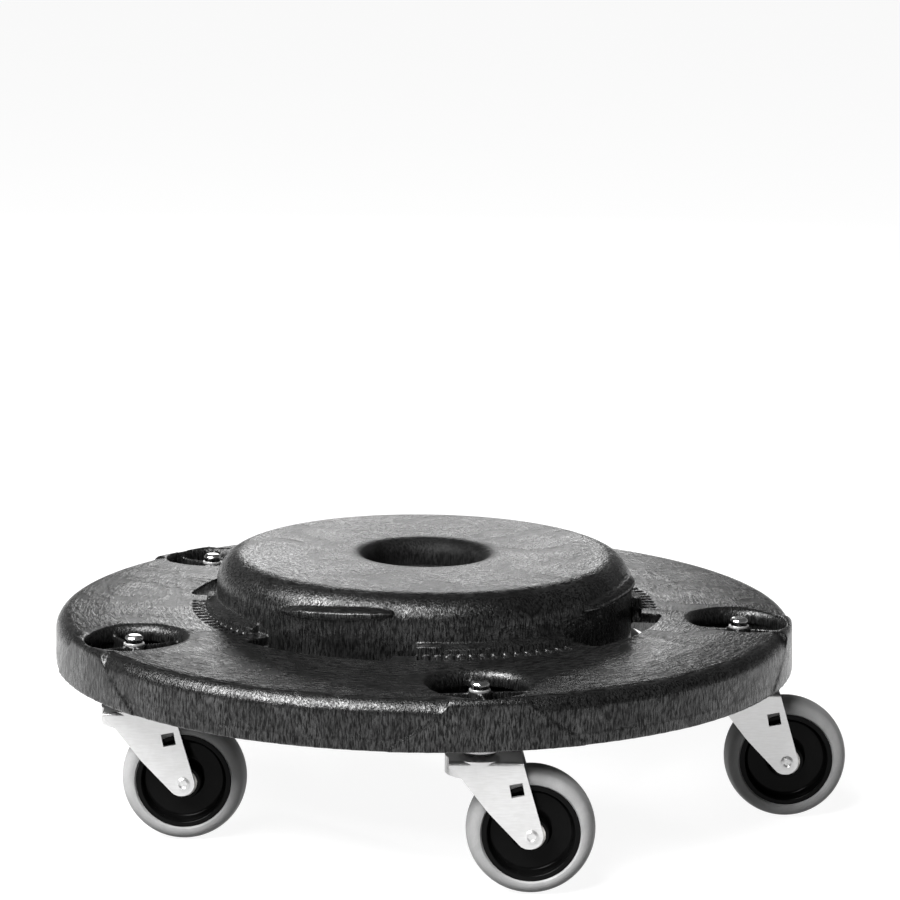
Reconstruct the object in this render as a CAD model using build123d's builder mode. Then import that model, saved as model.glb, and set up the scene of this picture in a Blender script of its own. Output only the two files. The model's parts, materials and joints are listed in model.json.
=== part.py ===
"""A round five-caster dolly that carries a plant pot or a waste container.

One moulded deck with a raised hub that a container's foot ring drops over and twists
onto, and five threaded-stem swivel casters. All sizes are millimetres. The origin is on
the floor under the middle of the deck, +Z is up, and at rest every caster trails to +X.
"""

import os
from math import cos, radians, sin

from build123d import *

# ---------------------------------------------------------------- driving dimensions
deck_radius = 231.8
deck_bottom = 92.0
deck_wall = 5.0
deck_rim_top = 122.6
deck_foot_top = 126.0
rim_fillet = 10.5

hub_radius = 130.8
hub_top = 160.0
hub_fillet = 18.0
hub_wall = 5.4
hub_skirt_bottom = 98.0
hub_boss_height = 124.3
hole_radius = 35.0
hole_edge = 11.0
hole_lip_bottom = 143.0

stem_circle = 198.9
caster_count = 5
first_caster_angle = -80.5
well_radius = 29.0
well_flare = 7.0
well_floor = 98.0
well_lip_bottom = 115.6
well_setback = 3.5
undercut_radius = 32.0
cup_radius = 36.5
boss_radius = 6.8
web_thickness = 1.8
boss_top = 120.3

lug_count = 4
first_lug_angle = -115.5
lug_sweep = 34.3
lug_radius = 136.0
lug_height = 146.6
lug_rise = 5.4
lug_swell = [0.12, 0.62, 0.95, 1.0, 1.0, 1.0, 0.95, 0.7, 0.16]
lug_bite = 2.0
lug_least = 0.2
lug_edge = 1.5
lug_under = 2.0
lug_over = 3.0
slot_start = -20.8
slot_sweep = 38.4
slot_corner = 4.5
slot_tail_start = 16.0
slot_tail_sweep = 7.4
slot_radius = 150.5
slot_wall = 3.6
slot_wall_bottom = 95.5
rib_radius = 137.2
rib_top = 132.3
rib_bottom = 116.0
rib_fall = 2.6
rib_block_start = 23.6
rib_block_sweep = 6.4
rib_run_start = 29.2
rib_run_sweep = 36.0
tooth_count = 14
tooth_pitch = 2.95
tooth_start = 24.6
bead_height = 98.8
bead_gap = 12.8

wheel_radius = 38.1
wheel_width = 30.6
caster_trail = 30.8
core_radius = 29.0
fork_half_width = 19.5
fork_sheet = 2.5
fork_crown_top = 82.5
crown_radius = 20.0
stem_radius = 4.75
axle_radius = 3.6
running_gap = 0.06

# ---------------------------------------------------------------- shared placements
caster_step = 360 / caster_count
lug_step = 360 / lug_count
caster_angles = [first_caster_angle + caster_step * n for n in range(caster_count)]
lug_angles = [first_lug_angle + lug_step * n for n in range(lug_count)]
stem_points = [
    (stem_circle * cos(radians(angle)), stem_circle * sin(radians(angle)))
    for angle in caster_angles
]


def radial_plane(angle):
    """The upright plane through the Z axis whose X direction points out at an angle."""
    out = radians(angle)
    return Plane((0, 0, 0), x_dir=(cos(out), sin(out), 0), z_dir=(sin(out), -cos(out), 0))


def tangent_plane(angle, distance):
    """An upright plane facing out at an angle, at a distance from the Z axis."""
    out = radians(angle)
    centre = (distance * cos(out), distance * sin(out), 0)
    return Plane(centre, x_dir=(-sin(out), cos(out), 0), z_dir=(cos(out), sin(out), 0))


def outline_face(points, radii):
    """A closed face from corner points, each corner rounded by its own radius."""
    with BuildSketch() as face:
        with BuildLine():
            FilletPolyline(*points, radius=radii, close=True)
        make_face()
    return face.sketch


def ring_sector(inner_radius, outer_radius, start_angle, sweep, corner=0.0):
    """A flat piece of a ring, its outer corners rounded where a corner radius is given."""
    with BuildSketch() as sector:
        with BuildLine():
            outer = CenterArc((0, 0), outer_radius, start_angle, sweep)
            inner = CenterArc((0, 0), inner_radius, start_angle, sweep)
            Line(outer @ 0, inner @ 0)
            Line(outer @ 1, inner @ 1)
        make_face()
        if corner > 0:
            beyond = (outer_radius - 1) ** 2
            fillet(sector.vertices().filter_by(lambda v: v.X**2 + v.Y**2 > beyond), corner)
    return sector.sketch


def lug_ramp(middle_angle):
    """A climbing lip on the hub wall, lofted through upright sections that shrink at both ends."""
    step = lug_sweep / (len(lug_swell) - 1)
    with BuildPart() as ramp:
        for number, swell in enumerate(lug_swell):
            turn = number * step - lug_sweep / 2
            height = lug_height + lug_rise * turn / lug_sweep
            reach = swell * (lug_radius - hub_radius)
            with BuildSketch(radial_plane(middle_angle + turn)):
                with BuildLine():
                    Polyline(
                        (hub_radius - lug_bite, height - 5 * lug_least - lug_under * swell),
                        (hub_radius + 0.4 * reach, height - 2 * lug_least - lug_under * swell),
                        (hub_radius + reach, height - lug_least - lug_edge * swell),
                        (hub_radius + reach, height + lug_least + lug_edge * swell),
                        (hub_radius + 0.2 * reach, height + 3 * lug_least + lug_over * swell),
                        (hub_radius - lug_bite, height + 5 * lug_least + lug_over * swell),
                        close=True,
                    )
                make_face()
        loft()
    return ramp.part


# ---------------------------------------------------------------- deck cutters and pads
# A pocket well with a flared mouth, about its own axis.
with BuildPart() as well_cutter:
    with BuildSketch(Plane.XZ):
        with BuildLine():
            Polyline((0, hub_top), (0, well_floor), (well_radius, well_floor))
            Line((well_radius, well_floor), (well_radius, deck_foot_top - well_flare))
            RadiusArc(
                (well_radius, deck_foot_top - well_flare),
                (well_radius + well_flare, deck_foot_top),
                well_flare,
            )
            Polyline(
                (well_radius + well_flare, deck_foot_top),
                (well_radius + well_flare, hub_top),
                (0, hub_top),
            )
        make_face()
    revolve(axis=Axis.Z)

# One groove between two teeth of the ring outside each foot rib.
groove_width = 3.9
with BuildPart() as groove_cutter:
    with BuildSketch(Plane.XZ.offset(-groove_width / 2)):
        with BuildLine():
            Polyline(
                (rib_radius + 0.35, deck_foot_top + 2),
                (rib_radius + 0.35, deck_foot_top - 4.2),
                (rib_radius + 2.5, deck_foot_top - 4.2),
                (rib_radius + 9.6, deck_foot_top - 0.4),
                (rib_radius + 9.6, deck_foot_top + 2),
                close=True,
            )
        make_face()
    extrude(amount=groove_width)

# A bell-shaped prism standing on the skirt outside a caster; it bounds the raised arch.
arch_half_widths = [
    (58.7, deck_bottom),
    (51.0, 99.0),
    (41.7, 105.0),
    (31.0, 113.0),
    (24.0, 121.0),
    (22.0, 128.0),
]
with BuildPart() as arch_prism:
    with BuildSketch(Plane.YZ.offset(stem_circle)):
        with BuildLine():
            right = Spline(*arch_half_widths)
            left = Spline(*[(-half, height) for half, height in arch_half_widths])
            Line(right @ 0, left @ 0)
            Line(right @ 1, left @ 1)
        make_face()
    extrude(amount=40)

arch_proud = 0.9
with BuildPart() as arch_pad:
    with BuildSketch(radial_plane(-20)):
        add(
            outline_face(
                [
                    (deck_radius - 3, deck_bottom),
                    (deck_radius + arch_proud, deck_bottom),
                    (deck_radius + 0.1, deck_rim_top + 0.9),
                    (stem_circle + 4, deck_foot_top - 1.0),
                    (stem_circle + 4, deck_rim_top - 4),
                    (deck_radius - 3, deck_rim_top - 6),
                ],
                [0, 1.2, 5.0, 0, 0, 0],
            )
        )
    revolve(axis=Axis.Z, revolution_arc=40)
    add(arch_prism.part, mode=Mode.INTERSECT)

# ---------------------------------------------------------------- deck
with BuildPart() as deck:
    # The shell: hub, hole lip, carrying face and skirt in one turn.
    with BuildSketch(Plane.XZ):
        add(
            outline_face(
                [
                    (hole_radius, hole_lip_bottom),
                    (hole_radius, hub_top),
                    (hub_radius, hub_top),
                    (hub_radius, deck_foot_top),
                    (stem_circle, deck_foot_top - 0.6),
                    (deck_radius, deck_rim_top),
                    (deck_radius, deck_bottom),
                    (deck_radius - deck_wall, deck_bottom),
                    (deck_radius - deck_wall - 0.8, deck_rim_top - 6),
                    (hub_radius, deck_foot_top - 6),
                    (hub_radius, hub_skirt_bottom),
                    (hub_radius - hub_wall, hub_skirt_bottom),
                    (hub_radius - hub_wall, hub_top - 6),
                    (hole_radius + 5.5, hub_top - 6),
                    (hole_radius + 5.5, hole_lip_bottom),
                ],
                [0.8, hole_edge, hub_fillet, 1.5, 60, rim_fillet]
                + [1.2, 1.2, 5, 0, 0.8, 0.8, 12, 5.5, 0.8],
            )
        )
    revolve(axis=Axis.Z)

    # Raised arches on the skirt, outside each caster.
    with PolarLocations(0, caster_count, start_angle=first_caster_angle):
        add(arch_pad.part)

    # Pocket cups, then the wells with their flared mouths; below its lip each well is wider.
    cup_circle = stem_circle - well_setback
    with BuildSketch(Plane.XY.offset(deck_bottom)):
        with PolarLocations(cup_circle, caster_count, start_angle=first_caster_angle):
            Circle(cup_radius)
        Circle(deck_radius - 1.5, mode=Mode.INTERSECT)
    extrude(amount=deck_rim_top - deck_bottom - 2)
    with PolarLocations(stem_circle, caster_count, start_angle=first_caster_angle):
        add(well_cutter.part, mode=Mode.SUBTRACT)
    with BuildSketch(Plane.XY.offset(well_floor)):
        with PolarLocations(cup_circle, caster_count, start_angle=first_caster_angle):
            Circle(undercut_radius)
    extrude(amount=well_lip_bottom - well_floor, mode=Mode.SUBTRACT)

    # In each well: the stem boss and a cross of four thin webs.
    web_out = well_radius + 0.5
    web_in = undercut_radius + well_setback + 1.0
    web_circle = stem_circle + (web_out - web_in) / 2
    with BuildSketch(Plane.XY.offset(well_floor)):
        with PolarLocations(web_circle, caster_count, start_angle=first_caster_angle):
            Rectangle(web_out + web_in, web_thickness)
        with PolarLocations(stem_circle, caster_count, start_angle=first_caster_angle):
            Rectangle(web_thickness, 2 * undercut_radius + 1)
    extrude(amount=boss_top - well_floor - 0.8)
    with BuildSketch(Plane.XY.offset(well_floor)):
        with PolarLocations(stem_circle, caster_count, start_angle=first_caster_angle):
            Circle(boss_radius)
    extrude(amount=boss_top - well_floor)

    # Foot ribs on the hub: a flat starting block, then a run with a sloping top.
    for lug_angle in lug_angles:
        with BuildSketch(radial_plane(lug_angle + rib_block_start)):
            add(
                outline_face(
                    [
                        (hub_radius - 2, rib_bottom),
                        (rib_radius, rib_bottom),
                        (rib_radius, rib_top - 0.6),
                        (hub_radius - 2, rib_top),
                    ],
                    [0, 0.5, 0.5, 0],
                )
            )
        revolve(axis=Axis.Z, revolution_arc=rib_block_sweep)
        with BuildSketch(radial_plane(lug_angle + rib_run_start)):
            add(
                outline_face(
                    [
                        (hub_radius - 2.4, rib_bottom + 0.4),
                        (rib_radius - 0.25, rib_bottom + 0.4),
                        (rib_radius - 0.25, rib_top - 0.1 - rib_fall),
                        (hub_radius + 0.4, rib_top - 0.1),
                        (hub_radius - 2.4, rib_top - 0.1),
                    ],
                    [0, 0.5, 0.5, 0.4, 0],
                )
            )
        revolve(axis=Axis.Z, revolution_arc=rib_run_sweep)

    # Lugs: ramped lips that a container's foot turns under, drawn out to nothing at both ends.
    for lug_angle in lug_angles:
        add(lug_ramp(lug_angle))

    # Slots through the carrying face under the lugs, each with a narrow end.
    slot_floor = rib_bottom - 2
    tooth_range = tooth_pitch * tooth_count
    for lug_angle in lug_angles:
        slot_angle = lug_angle + slot_start
        tail_angle = lug_angle + slot_tail_start
        with BuildSketch(Plane.XY.offset(slot_floor)):
            add(ring_sector(hub_radius - 0.1, slot_radius, slot_angle, slot_sweep, slot_corner))
            add(ring_sector(hub_radius - 0.1, rib_radius - 0.4, tail_angle, slot_tail_sweep))
        extrude(amount=deck_foot_top + 5 - slot_floor, mode=Mode.SUBTRACT)

        # Teeth outside the foot rib.
        first_tooth = lug_angle + tooth_start
        with PolarLocations(0, tooth_count, start_angle=first_tooth, angular_range=tooth_range):
            add(groove_cutter.part, mode=Mode.SUBTRACT)

    # A fine bead round the skirt between the arches.
    for caster_angle in caster_angles:
        with BuildSketch(radial_plane(caster_angle + bead_gap)):
            add(
                outline_face(
                    [
                        (deck_radius - 1, bead_height - 0.6),
                        (deck_radius, bead_height - 0.6),
                        (deck_radius + 0.35, bead_height - 0.2),
                        (deck_radius + 0.35, bead_height + 0.2),
                        (deck_radius, bead_height + 0.6),
                        (deck_radius - 1, bead_height + 0.6),
                    ],
                    [0, 0, 0.1, 0.1, 0, 0],
                )
            )
        revolve(axis=Axis.Z, revolution_arc=caster_step - 2 * bead_gap)

    # Underside: a wall round the slots, and braces from it to the skirt between the pockets.
    slot_wall_inside = slot_radius + 0.6
    with BuildSketch(Plane.XY.offset(slot_wall_bottom)):
        Circle(slot_wall_inside + slot_wall)
        Circle(slot_wall_inside, mode=Mode.SUBTRACT)
    extrude(amount=deck_foot_top - 5 - slot_wall_bottom)
    brace_bottom = 110.5
    brace_depth = 7.0
    brace_length = deck_radius - deck_wall - slot_wall_inside
    brace_circle = slot_wall_inside + brace_length / 2 + 1
    with BuildSketch(Plane.XY.offset(brace_bottom)):
        for brace_turn in (24, 36, 48):
            brace_angle = first_caster_angle + brace_turn
            with PolarLocations(brace_circle, caster_count, start_angle=brace_angle):
                Rectangle(brace_length, 3.0)
    extrude(amount=brace_depth)

    # Inside the hub: a light ring rib and four arch-topped bosses under the lugs.
    hub_inside = hub_radius - hub_wall
    hub_ring_bottom = 129.0
    hub_ring_depth = 3.4
    hub_boss_depth = 7.5
    with BuildSketch(Plane.XY.offset(hub_ring_bottom)):
        Circle(hub_inside + 0.5)
        Circle(hub_inside - 3.2, mode=Mode.SUBTRACT)
    extrude(amount=hub_ring_depth)
    for boss_angle in (0, 90, 180, 270):
        with BuildSketch(tangent_plane(boss_angle, hub_inside - 5.9)):
            with Locations((0, hub_boss_height)):
                RectangleRounded(14.0, 20.6, 5.0)
        extrude(amount=hub_boss_depth)

    # Bores for the stems.
    with BuildSketch(Plane.XY.offset(deck_bottom - 1)):
        with PolarLocations(stem_circle, caster_count, start_angle=first_caster_angle):
            Circle(stem_radius + running_gap)
    extrude(amount=40, mode=Mode.SUBTRACT)

deck.part.label = "deck"

# ---------------------------------------------------------------- one caster, stem on Z
axle_height = wheel_radius

# Threaded stem with the swivel rivet's head below the fork crown.
stem_top = 124.5
stem_chamfer = 0.9
rivet_radius = 8.0
rivet_bottom = 75.8
rivet_seat = 79.6
with BuildPart() as stem:
    with BuildSketch(Plane.XZ):
        with BuildLine():
            Polyline((0, rivet_bottom), (rivet_radius - 2.4, rivet_bottom))
            RadiusArc((rivet_radius - 2.4, rivet_bottom), (rivet_radius, rivet_bottom + 2.4), -2.6)
            Polyline(
                (rivet_radius, rivet_bottom + 2.4),
                (rivet_radius, rivet_seat),
                (stem_radius, rivet_seat),
                (stem_radius, stem_top - stem_chamfer),
                (stem_radius - stem_chamfer, stem_top),
                (0, stem_top),
                (0, rivet_bottom),
            )
        make_face()
    revolve(axis=Axis.Z)

# Swivel bearing: a ball ring under the fixed upper race, whose skirt shields the balls.
ball_radius = 1.9
ball_circle = 8.65
ball_count = 12
race_radius = 12.2
race_top = deck_bottom
race_skirt = 84.9
race_ceiling = fork_crown_top + 2 * ball_radius + 0.2
race_foot = fork_crown_top + 0.8
with BuildPart() as top_race:
    with BuildSketch(Plane.XZ):
        add(
            outline_face(
                [
                    (stem_radius + 0.05, race_top),
                    (race_radius - 0.8, race_top),
                    (race_radius, race_skirt),
                    (race_radius - 1.2, race_skirt),
                    (race_radius - 1.4, race_ceiling),
                    (ball_circle - ball_radius - 0.3, race_ceiling),
                    (ball_circle - ball_radius - 0.5, race_foot),
                    (stem_radius + 0.05, race_foot),
                ],
                [0.3, 1.4, 0.4, 0.3, 0.4, 0.4, 0.3, 0.2],
            )
        )
    revolve(axis=Axis.Z)

with BuildPart() as swivel_balls:
    with PolarLocations(ball_circle, ball_count):
        with Locations((0, 0, fork_crown_top + ball_radius + 0.1)):
            Sphere(ball_radius)

# Fork: a pressed sheet with a round crown, two raked legs and a turned-down front lip.
leg_front = -17.7
leg_back = 25.3
lip_bottom = 72.0
with BuildPart() as fork:
    with BuildSketch(Plane.XY.offset(fork_crown_top - fork_sheet)):
        Circle(crown_radius)
        with Locations(((leg_front + leg_back) / 2, 0)):
            Rectangle(leg_back - leg_front, 2 * fork_half_width)
    extrude(amount=fork_sheet)
    with BuildSketch(Plane.XZ.offset(fork_half_width - fork_sheet)):
        with BuildLine():
            FilletPolyline(
                (leg_front, fork_crown_top),
                (leg_front, 79.0),
                (-11.0, 73.4),
                (5.4, 52.4),
                (26.2, 30.4),
                (40.4, 30.6),
                (leg_back, fork_crown_top),
                radius=[0.0, 3.0, 4.0, 40.0, 7.6, 7.8, 0.0],
                close=True,
            )
        make_face()
        with Locations((22.05, 65.85)):
            Rectangle(7.8, 7.8, rotation=11.0, mode=Mode.SUBTRACT)
        with Locations((caster_trail, axle_height)):
            Circle(axle_radius + 0.02, mode=Mode.SUBTRACT)
    extrude(amount=fork_sheet)
    mirror(about=Plane.XZ)
    # The lip wraps the front of the crown between the legs.
    with BuildSketch(Plane.XY.offset(lip_bottom)):
        Circle(crown_radius)
        Circle(crown_radius - fork_sheet, mode=Mode.SUBTRACT)
        with Locations((-crown_radius, 0)):
            Rectangle(26.0, 2 * fork_half_width, mode=Mode.INTERSECT)
    extrude(amount=fork_crown_top - lip_bottom)
    top_edges = fork.edges().filter_by(Axis.X).group_by(Axis.Z)[-1]
    bend_edges = top_edges.filter_by(lambda e: abs(e.center().Y) > fork_half_width - 0.01)
    fillet(bend_edges, 2.4)
    with BuildSketch(Plane.XY.offset(fork_crown_top - fork_sheet - 1)):
        Circle(stem_radius + running_gap)
    extrude(amount=fork_sheet + 2, mode=Mode.SUBTRACT)

# Axle: a rivet whose two heads are pressed hollow in the middle.
head_radius = 4.0
head_height = 1.4
with BuildPart() as axle:
    with BuildSketch(Plane.XY):
        with BuildLine():
            Polyline(
                (0, -fork_half_width - 0.8),
                (1.7, -fork_half_width - 0.9),
                (2.7, -fork_half_width - head_height),
                (head_radius, -fork_half_width - 0.8),
                (head_radius, -fork_half_width),
                (axle_radius, -fork_half_width),
                (axle_radius, fork_half_width),
                (head_radius, fork_half_width),
                (head_radius, fork_half_width + 0.8),
                (2.7, fork_half_width + head_height),
                (1.7, fork_half_width + 0.9),
                (0, fork_half_width + 0.8),
                close=True,
            )
        make_face()
    revolve(axis=Axis.Y)
axle_place = Location((caster_trail, 0, axle_height))

# Nylon sleeve the wheel turns on, with a thrust washer at each end.
sleeve_radius = 6.0
washer_place = 16.2
washer_thickness = 1.2
with BuildPart() as axle_sleeve:
    with BuildSketch(Plane.XY):
        with Locations(((axle_radius + running_gap + sleeve_radius) / 2, 0)):
            Rectangle(sleeve_radius - axle_radius - running_gap, wheel_width - 0.2)
    revolve(axis=Axis.Y)

with BuildPart() as thrust_washers:
    for side in (-1, 1):
        with BuildSketch(Plane.XY):
            with Locations((sleeve_radius, side * washer_place)):
                Rectangle(2 * (sleeve_radius - axle_radius - 0.05), washer_thickness)
        revolve(axis=Axis.Y)

with BuildPart() as wheel_core:
    with BuildSketch(Plane.XY):
        add(
            outline_face(
                [
                    (6.0, -wheel_width / 2),
                    (10.5, -wheel_width / 2),
                    (11.5, -5.0),
                    (24.6, -5.6),
                    (25.8, -13.2),
                    (core_radius, -13.2),
                    (core_radius, -6.0),
                    (core_radius + 1.6, -4.4),
                    (core_radius + 1.6, 4.4),
                    (core_radius, 6.0),
                    (core_radius, 13.2),
                    (25.8, 13.2),
                    (24.6, 5.6),
                    (11.5, 5.0),
                    (10.5, wheel_width / 2),
                    (6.0, wheel_width / 2),
                ],
                [0, 1.0, 2.5, 2.5, 0.8, 0.4, 0, 0, 0, 0, 0.4, 0.8, 2.5, 2.5, 1.0, 0],
            )
        )
    revolve(axis=Axis.Y)

with BuildPart() as tyre:
    with BuildSketch(Plane.XY):
        with BuildLine():
            Polyline(
                (core_radius, -12.8),
                (core_radius, -6.0),
                (core_radius + 1.6, -4.4),
                (core_radius + 1.6, 4.4),
                (core_radius, 6.0),
                (core_radius, 12.8),
            )
            Line((core_radius, 12.8), (core_radius + 0.9, 14.2))
            ThreePointArc((core_radius + 0.9, 14.2), (34.2, 13.4), (36.4, 10.4))
            ThreePointArc((36.4, 10.4), (wheel_radius, 0), (36.4, -10.4))
            ThreePointArc((36.4, -10.4), (34.2, -13.4), (core_radius + 0.9, -14.2))
            Line((core_radius + 0.9, -14.2), (core_radius, -12.8))
        make_face()
    revolve(axis=Axis.Y)

# Collar and push-on dome nut that hold the stem in its boss.
nut_seat = boss_top + 1.0
nut_neck = 5.3
nut_neck_height = 1.2
nut_radius = 5.7
nut_height = 5.0
nut_crown = 2.6
nut_bore_depth = 3.4
with BuildPart() as stem_washer:
    with BuildSketch(Plane.XY.offset(boss_top)):
        Circle(boss_radius - 0.5)
        Circle(stem_radius + 0.3, mode=Mode.SUBTRACT)
    extrude(amount=nut_seat - boss_top)

with BuildPart() as stem_nut:
    with BuildSketch(Plane.XY.offset(nut_seat)):
        Circle(nut_neck)
    extrude(amount=nut_neck_height)
    with BuildSketch(Plane.XY.offset(nut_seat + nut_neck_height)):
        Circle(nut_radius)
    extrude(amount=nut_height - nut_neck_height)
    fillet(stem_nut.edges().sort_by(Axis.Z)[-1], nut_crown)
    with BuildSketch(Plane.XY.offset(nut_seat)):
        Circle(stem_radius + 0.02)
    extrude(amount=nut_bore_depth, mode=Mode.SUBTRACT)

# ---------------------------------------------------------------- files
os.makedirs("parts", exist_ok=True)
export_step(deck.part, "parts/deck.step")

on_stem = {
    "stem": stem.part,
    "stem_washer": stem_washer.part,
    "stem_nut": stem_nut.part,
    "top_race": top_race.part,
    "swivel_balls": swivel_balls.part,
    "fork": fork.part,
    "axle": axle_place * axle.part,
    "axle_sleeve": axle_place * axle_sleeve.part,
    "thrust_washers": axle_place * thrust_washers.part,
    "wheel_core": axle_place * wheel_core.part,
    "tyre": axle_place * tyre.part,
}
for number, (stem_x, stem_y) in enumerate(stem_points, start=1):
    for name, piece in on_stem.items():
        placed = Location((stem_x, stem_y, 0)) * piece
        placed.label = f"{name}_{number}"
        export_step(placed, f"parts/{name}_{number}.step")
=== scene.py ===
import json
import math

import bmesh
import bpy
from mathutils import Matrix, Vector


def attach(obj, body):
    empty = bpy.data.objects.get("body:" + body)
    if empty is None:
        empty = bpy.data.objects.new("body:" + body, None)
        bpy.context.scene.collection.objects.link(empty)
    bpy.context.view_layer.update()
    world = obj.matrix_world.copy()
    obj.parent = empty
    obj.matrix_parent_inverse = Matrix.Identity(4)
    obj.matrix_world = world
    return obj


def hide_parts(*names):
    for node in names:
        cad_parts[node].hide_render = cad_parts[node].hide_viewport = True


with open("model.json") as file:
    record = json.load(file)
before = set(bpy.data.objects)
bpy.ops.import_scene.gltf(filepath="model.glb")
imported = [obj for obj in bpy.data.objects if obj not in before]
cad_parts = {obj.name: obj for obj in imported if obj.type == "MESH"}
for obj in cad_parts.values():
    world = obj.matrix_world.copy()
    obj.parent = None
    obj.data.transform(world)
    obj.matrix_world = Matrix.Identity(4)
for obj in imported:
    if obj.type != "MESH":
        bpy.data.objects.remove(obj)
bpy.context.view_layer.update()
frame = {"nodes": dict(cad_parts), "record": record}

MM = 0.001
NODES = frame["nodes"]
BODY_OF = {
    node: body
    for body, members in frame["record"]["behaviour"]["bodies"].items()
    for node in members
}


# ---------------------------------------------------------------- material making


class Look:
    """A node material being wired: one Principled shader and short calls for the nodes that feed it."""

    def __init__(self, name, **sockets):
        self.material = bpy.data.materials.new(name)
        self.material.use_nodes = True
        self.nodes = self.material.node_tree.nodes
        self.links = self.material.node_tree.links
        self.shader = self.nodes["Principled BSDF"]
        for socket, value in sockets.items():
            self.shader.inputs[socket.replace("_", " ")].default_value = value

    def add(self, kind, output=0, inputs=None, **settings):
        """Adds a node, sets its properties and inputs (a value or a wired output), and returns one output."""
        node = self.nodes.new("ShaderNode" + kind)
        for key, value in settings.items():
            setattr(node, key, value)
        for key, value in (inputs or {}).items():
            if isinstance(value, bpy.types.NodeSocket):
                self.links.new(value, node.inputs[key])
            else:
                node.inputs[key].default_value = value
        return node.outputs[output]

    def math(self, operation, a, b=0.0):
        return self.add("Math", inputs={0: a, 1: b}, operation=operation)

    def place(self):
        """The point on the piece, in metres, fixed to the piece as it moves."""
        return self.add("TexCoord", "Object")

    def stretched(self, vector, x, y, z):
        """A vector multiplied part by part: noise read from it is finer along the larger numbers."""
        return self.add("VectorMath", inputs={0: vector, 1: (x, y, z)}, operation="MULTIPLY")

    def noise(self, vector, scale=1.0, detail=3.0, rough=0.55, warp=0.0):
        inputs = {"Vector": vector, "Scale": scale, "Detail": detail, "Roughness": rough, "Distortion": warp}
        return self.add("TexNoise", "Fac", inputs)

    def remap(self, value, low, high, to_low, to_high):
        """Moves the range low..high of a value to to_low..to_high, with soft ends."""
        inputs = {0: value, 1: low, 2: high, 3: to_low, 4: to_high}
        return self.add("MapRange", inputs=inputs, interpolation_type="SMOOTHSTEP")

    def blend(self, amount, a, b):
        """One number between a and b."""
        return self.add("Mix", 0, {"Factor": amount, 2: a, 3: b})

    def tint(self, amount, dark, light):
        """A grey between two greys, as a colour."""
        ramp = self.nodes.new("ShaderNodeValToRGB")
        ramp.color_ramp.elements[0].color = (*dark, 1.0)
        ramp.color_ramp.elements[1].color = (*light, 1.0)
        self.links.new(amount, ramp.inputs[0])
        return ramp.outputs[0]

    def wire(self, **sockets):
        for socket, output in sockets.items():
            self.links.new(output, self.shader.inputs[socket.replace("_", " ")])
        return self

    def relief(self, *layers):
        """Stacks bump layers, each (height, depth in metres), and feeds them to the shader's normal."""
        normal = None
        for height, depth in layers:
            inputs = {"Height": height, "Distance": depth, "Strength": 1.0}
            if normal is not None:
                inputs["Normal"] = normal
            normal = self.add("Bump", inputs=inputs)
        return self.wire(Normal=normal)


def grey(value, warmth=0.0):
    """A neutral colour, a little warmer or cooler."""
    return (value * (1 + warmth), value, value * (1 - warmth))


def deck_plastic():
    """Black moulded plastic: short strokes down the walls and round the flats, cloudy gloss, orange peel.

    The bore of the hub is left matt, and its reflection is turned down to a trace: painted shade in the hole.
    """
    look = Look("deck_plastic", Roughness=0.3, Base_Color=(*grey(0.01), 1.0))
    place = look.place()
    upward = look.add("SeparateXYZ", "Z", {0: look.add("NewGeometry", "Normal")})
    flatness = look.remap(look.math("ABSOLUTE", upward), 0.80, 0.97, 0.0, 1.0)

    x = look.add("SeparateXYZ", "X", {0: place})
    y = look.add("SeparateXYZ", "Y", {0: place})
    squares = look.math("ADD", look.math("MULTIPLY", x, x), look.math("MULTIPLY", y, y))
    radius = look.math("SQRT", squares)
    along = look.math("MULTIPLY", radius, 640.0)
    around = look.math("MULTIPLY", look.math("ARCTAN2", y, x), 24.0)
    turned = look.add("CombineXYZ", inputs={0: along, 1: around})
    brushed = look.noise(turned, detail=3.0, rough=0.6, warp=0.7)
    drawn = look.stretched(place, 1050.0, 1050.0, 190.0)
    streak = look.noise(drawn, detail=3.0, rough=0.65, warp=0.4)
    clouds = look.noise(place, 17.0, detail=5.0, rough=0.62, warp=1.8)
    peel = look.noise(place, 190.0, detail=3.0, rough=0.6)

    mottle = look.blend(flatness, streak, brushed)
    pale = look.remap(mottle, 0.36, 0.68, 0.0, 1.0)
    cloudy = look.remap(clouds, 0.38, 0.62, 0.0, 1.0)
    gloss = look.blend(cloudy, 0.28, 0.14)
    shine = look.blend(pale, look.blend(flatness, 0.10, 0.34), look.blend(cloudy, 0.56, 0.78))
    tone = look.math("MULTIPLY", pale, look.blend(cloudy, 0.4, 1.0))
    # Inside the hub's bore the specular level drops to 0.06, painted shade in the hole, beside a rougher matt
    # finish there.
    outside_shaded_bore = look.remap(radius, 38.0 * MM, 50.0 * MM, 0.0, 1.0)
    depth = look.math("MULTIPLY", mottle, look.blend(flatness, 1.0, 1.3))
    look.wire(
        Base_Color=look.tint(tone, grey(0.001), grey(0.014)),
        Roughness=look.blend(outside_shaded_bore, 0.5, look.blend(pale, 0.30, gloss)),
        # Painted shade: the reflection is turned down to a trace inside the bore.
        Specular_IOR_Level=look.blend(outside_shaded_bore, 0.06, shine),
    )
    look.relief((clouds, 1.4 * MM), (peel, 0.14 * MM), (depth, 0.27 * MM))
    return look.material


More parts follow.
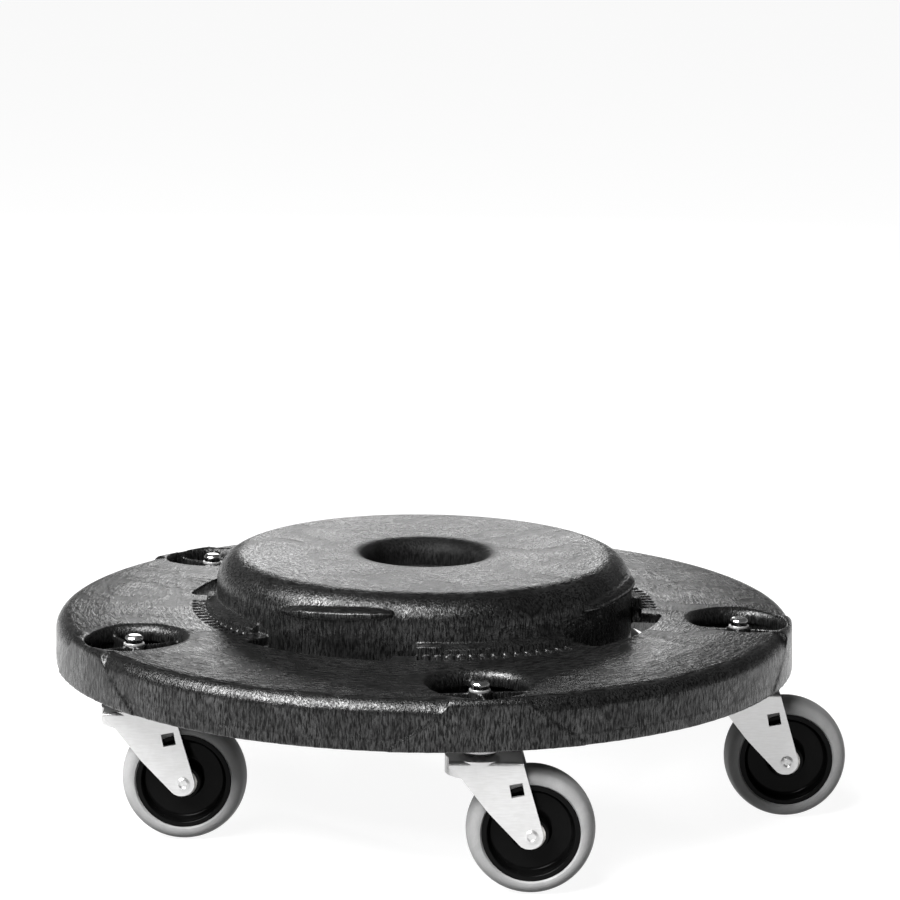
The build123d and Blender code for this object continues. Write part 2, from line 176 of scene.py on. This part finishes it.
def zinc_plate():
    """Bright zinc on pressed steel: pale, softly rolled one way, with faint clouds of the plating bath."""
    look = Look("zinc_plate", Metallic=0.8, Roughness=0.42, Base_Color=(*grey(0.8), 1.0))
    place = look.place()
    rolled = look.noise(look.stretched(place, 150.0, 150.0, 1400.0), detail=2.0, rough=0.5)
    clouds = look.noise(place, 70.0, detail=3.0, rough=0.6, warp=0.8)
    spangle = look.noise(place, 900.0, detail=2.0, rough=0.6)
    tone = look.blend(0.5, clouds, rolled)
    look.wire(
        Base_Color=look.tint(look.remap(tone, 0.3, 0.7, 0.0, 1.0), grey(0.50, 0.004), grey(0.59)),
        Roughness=look.remap(tone, 0.3, 0.7, 0.30, 0.42),
    )
    look.relief((spangle, 0.012 * MM), (rolled, 0.01 * MM))
    return look.material


def nut_chrome():
    """Polished nickel-chrome with faint wiping marks."""
    look = Look("nut_chrome", Metallic=1.0, Roughness=0.14, Base_Color=(*grey(0.82), 1.0))
    place = look.place()
    wipe = look.noise(look.stretched(place, 900.0, 900.0, 250.0), detail=3.0, rough=0.6)
    haze = look.noise(place, 260.0, detail=2.0)
    look.wire(
        Base_Color=look.tint(haze, grey(0.68), grey(0.90)),
        Roughness=look.remap(haze, 0.3, 0.7, 0.08, 0.22),
    )
    look.relief((wipe, 0.006 * MM))
    return look.material


def race_steel():
    """Hardened race washer: grey-bright steel, turned fine rings, a trace of grease haze."""
    look = Look("race_steel", Metallic=0.85, Roughness=0.34, Base_Color=(*grey(0.62), 1.0))
    place = look.place()
    rings = look.noise(look.stretched(place, 260.0, 260.0, 1800.0), detail=2.0)
    haze = look.noise(place, 90.0, detail=3.0, warp=0.5)
    look.wire(
        Base_Color=look.tint(haze, grey(0.52), grey(0.72)),
        Roughness=look.remap(haze, 0.3, 0.7, 0.26, 0.44),
    )
    look.relief((rings, 0.01 * MM))
    return look.material


def ball_steel():
    """Ground bearing balls under a film of grease."""
    look = Look("ball_steel", Metallic=1.0, Roughness=0.1, Base_Color=(*grey(0.7), 1.0))
    place = look.place()
    film = look.noise(place, 700.0, detail=2.0)
    look.wire(
        Base_Color=look.tint(film, grey(0.55), grey(0.78)),
        Roughness=look.remap(film, 0.3, 0.7, 0.06, 0.2),
    )
    look.relief((film, 0.004 * MM))
    return look.material


def core_plastic():
    """Glossy black nylon hub of a wheel, with faint moulding swirl and fine scuffs."""
    look = Look("core_plastic", Roughness=0.2, Base_Color=(*grey(0.002), 1.0), Specular_IOR_Level=0.05)
    place = look.place()
    swirl = look.noise(place, 60.0, detail=4.0, rough=0.6, warp=2.2)
    scuff = look.noise(look.stretched(place, 900.0, 250.0, 160.0), detail=3.0, rough=0.6)
    scuffed = look.remap(scuff, 0.45, 0.7, 0.0, 0.5)
    look.wire(
        Base_Color=look.tint(swirl, grey(0.001), grey(0.004)),
        Roughness=look.blend(scuffed, look.remap(swirl, 0.3, 0.7, 0.10, 0.22), 0.34),
    )
    look.relief((swirl, 0.03 * MM), (scuff, 0.008 * MM))
    return look.material


def sleeve_nylon():
    """Natural nylon bush: off-white, waxy, slightly cloudy."""
    look = Look("sleeve_nylon", Roughness=0.4, Base_Color=(*grey(0.6), 1.0))
    place = look.place()
    clouds = look.noise(place, 140.0, detail=3.0, warp=0.6)
    look.wire(
        Base_Color=look.tint(clouds, grey(0.50, 0.05), grey(0.68, 0.03)),
        Roughness=look.remap(clouds, 0.3, 0.7, 0.32, 0.5),
    )
    look.relief((clouds, 0.02 * MM))
    return look.material


def tyre_rubber():
    """Grey non-marking rubber: satin, finely grained, faintly smudged."""
    look = Look("tyre_rubber", Roughness=0.5, Base_Color=(*grey(0.27), 1.0), Specular_IOR_Level=0.3)
    place = look.place()
    smudge = look.noise(place, 42.0, detail=3.0, rough=0.6, warp=0.9)
    grain = look.noise(place, 1500.0, detail=3.0, rough=0.6)
    tone = look.blend(0.25, smudge, grain)
    look.wire(
        Base_Color=look.tint(look.remap(tone, 0.3, 0.7, 0.0, 1.0), grey(0.22), grey(0.285)),
        Roughness=look.remap(tone, 0.3, 0.7, 0.42, 0.58),
    )
    look.relief((smudge, 0.05 * MM), (grain, 0.012 * MM))
    return look.material


MATERIALS = {
    make.__name__: make()
    for make in (
        deck_plastic,
        zinc_plate,
        race_steel,
        nut_chrome,
        ball_steel,
        core_plastic,
        sleeve_nylon,
        tyre_rubber,
    )
}

SLOT_OF = {part["node"]: part["material_slot"] for part in frame["record"]["subparts"]}


def dress(obj, slot):
    """Gives an object one material."""
    obj.data.materials.clear()
    obj.data.materials.append(MATERIALS[slot])


for node, obj in NODES.items():
    dress(obj, SLOT_OF[node])


# ---------------------------------------------------------------- pieces


def piece_of_mesh(mesh, name, node, smooth_angle):
    """Turns a mesh into a piece that stands for a CAD node and rides on its body."""
    piece = bpy.data.objects.new(name, mesh)
    bpy.context.scene.collection.objects.link(piece)
    mesh.shade_smooth()
    mesh.set_sharp_from_angle(angle=smooth_angle)
    slot = SLOT_OF[node]
    dress(piece, slot)
    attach(piece, BODY_OF[node])
    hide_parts(node)
    return piece


def welded_copy(node):
    """A closed mesh of a CAD node's surface."""
    bm = bmesh.new()
    bm.from_mesh(NODES[node].data)
    bmesh.ops.remove_doubles(bm, verts=bm.verts, dist=0.001 * MM)
    mesh = bpy.data.meshes.new(node + "_source")
    bm.to_mesh(mesh)
    bm.free()
    return mesh


def through(mesh, *modifiers):
    """Passes a mesh through modifiers, each (type, settings), and returns the result."""
    obj = bpy.data.objects.new("work", mesh)
    bpy.context.scene.collection.objects.link(obj)
    for kind, settings in modifiers:
        modifier = obj.modifiers.new(kind, kind)
        for key, value in settings.items():
            setattr(modifier, key, value)
    graph = bpy.context.evaluated_depsgraph_get()
    result = bpy.data.meshes.new_from_object(obj.evaluated_get(graph))
    bpy.data.objects.remove(obj)
    return result


DECK_VOXEL = 0.85 * MM
DECK_TRIANGLES = 190_000


def moulded_deck():
    """The deck as it leaves the mould: every edge rounded a little and the skin slightly uneven."""
    fine = through(
        welded_copy("deck"),
        ("REMESH", dict(mode="VOXEL", voxel_size=DECK_VOXEL)),
        ("SMOOTH", dict(factor=0.5, iterations=1)),
    )
    ratio = DECK_TRIANGLES / (2 * len(fine.polygons))
    light = through(fine, ("DECIMATE", dict(ratio=ratio)))
    return piece_of_mesh(light, "deck_moulding", "deck", math.radians(50))


moulded_deck()


# ---------------------------------------------------------------- studio

FLOOR_SIZE = 40.0
FLOOR_GLOW = 0.92
BOUNCE_SIZE = (2.4, 1.1)
BOUNCE_PLACE = (-0.3, -0.85, 0.004)
BOUNCE_RADIANCE = 0.9
SKY_BELOW = 0.1
SKY_HORIZON = 0.22
SKY_TOP = 0.08


def studio_floor():
    """A plain pale sheet, lit from within, that runs out past every view."""
    bm = bmesh.new()
    bmesh.ops.create_grid(bm, x_segments=2, y_segments=2, size=FLOOR_SIZE)
    mesh = bpy.data.meshes.new("floor")
    bm.to_mesh(mesh)
    bm.free()
    floor = bpy.data.objects.new("floor", mesh)
    bpy.context.scene.collection.objects.link(floor)
    glow = {"Emission_Color": (1.0, 1.0, 1.0, 1.0), "Emission_Strength": FLOOR_GLOW}
    look = Look("floor_paper", Roughness=0.9, Specular_IOR_Level=0.1, **glow)
    look.wire(Base_Color=look.tint(look.noise(look.place(), 3.0), grey(0.17), grey(0.19)))
    mesh.materials.append(look.material)
    floor.visible_diffuse = False


def softbox(name, bearing, height, distance, size, radiance):
    """A rectangular soft light facing the deck, its bearing counted from the front, positive to the right."""
    aim = Vector((0.0, 0.0, 0.1))
    turn, rise = math.radians(bearing), math.radians(height)
    away = Vector((math.sin(turn) * math.cos(rise), -math.cos(turn) * math.cos(rise), math.sin(rise)))
    data = bpy.data.lights.new(name, "AREA")
    data.shape = "RECTANGLE"
    data.size, data.size_y = size
    data.energy = radiance * math.pi * size[0] * size[1]
    lamp = bpy.data.objects.new(name, data)
    lamp.location = aim + away * distance
    lamp.rotation_mode = "QUATERNION"
    lamp.rotation_quaternion = (-away).to_track_quat("-Z", "Y")
    lamp.visible_camera = False
    bpy.context.scene.collection.objects.link(lamp)


def floor_bounce():
    """The light that the lit floor in front throws up at the skirt and the wheels."""
    data = bpy.data.lights.new("bounce", "AREA")
    data.shape = "RECTANGLE"
    data.size, data.size_y = BOUNCE_SIZE
    data.energy = BOUNCE_RADIANCE * math.pi * data.size * data.size_y
    lamp = bpy.data.objects.new("bounce", data)
    lamp.location = BOUNCE_PLACE
    lamp.rotation_euler = (math.pi, 0.0, 0.0)
    lamp.visible_camera = False
    lamp.visible_glossy = False
    bpy.context.scene.collection.objects.link(lamp)


def studio_world():
    """Soft light all round, strongest near the horizon and dim overhead; the backdrop itself looks white."""
    world = bpy.data.worlds.new("studio")
    world.use_nodes = True
    nodes, links = world.node_tree.nodes, world.node_tree.links
    height = nodes.new("ShaderNodeSeparateXYZ")
    links.new(nodes.new("ShaderNodeTexCoord").outputs["Generated"], height.inputs[0])
    share = nodes.new("ShaderNodeMapRange")
    share.inputs["From Min"].default_value = -1.0
    links.new(height.outputs["Z"], share.inputs["Value"])
    ramp = nodes.new("ShaderNodeValToRGB")
    steps = ramp.color_ramp.elements
    steps[0].position, steps[0].color = 0.49, (*grey(SKY_BELOW), 1.0)
    steps[1].position, steps[1].color = 0.75, (*grey(SKY_TOP), 1.0)
    horizon = steps.new(0.5)
    horizon.color = (*grey(SKY_HORIZON), 1.0)
    links.new(share.outputs["Result"], ramp.inputs[0])
    seen = nodes.new("ShaderNodeLightPath").outputs["Is Camera Ray"]
    shown = nodes.new("ShaderNodeMix")
    shown.data_type = "RGBA"
    shown.inputs[7].default_value = (1.0, 1.0, 1.0, 1.0)
    links.new(seen, shown.inputs[0])
    links.new(ramp.outputs[0], shown.inputs[6])
    links.new(shown.outputs[2], nodes["Background"].inputs["Color"])
    bpy.context.scene.world = world


CAMERA_PLACE = (0.0, -2.3496, 0.6747)
CAMERA_LENS = 152.5
CAMERA_PITCH = 0.189
CAMERA_PAN = 0.0064
CAMERA_ROLL = 0.0119


def camera():
    """A long lens, a little above the deck, that looks slightly down at it."""
    data = bpy.data.cameras.new("camera")
    data.sensor_width = 36.0
    data.lens = CAMERA_LENS
    data.clip_end = 50.0
    view = bpy.data.objects.new("camera", data)
    pitch, pan, roll = CAMERA_PITCH, CAMERA_PAN, CAMERA_ROLL
    forward = Vector((math.sin(pan) * math.cos(pitch), math.cos(pan) * math.cos(pitch), -math.sin(pitch)))
    right = Vector((math.cos(pan), -math.sin(pan), 0.0))
    up = right.cross(forward)
    across = right * math.cos(roll) + up * math.sin(roll)
    upward = up * math.cos(roll) - right * math.sin(roll)
    turn = Matrix((across, upward, -forward)).transposed()
    view.matrix_world = Matrix.Translation(CAMERA_PLACE) @ turn.to_4x4()
    bpy.context.scene.collection.objects.link(view)
    bpy.context.scene.camera = view


studio_floor()
studio_world()
softbox("key", bearing=-44.0, height=46.0, distance=2.0, size=(2.0, 1.15), radiance=26.0)
softbox("back", bearing=181.0, height=15.0, distance=2.8, size=(0.8, 0.7), radiance=2.9)
floor_bounce()
camera()
bpy.context.scene.view_settings.view_transform = "Standard"
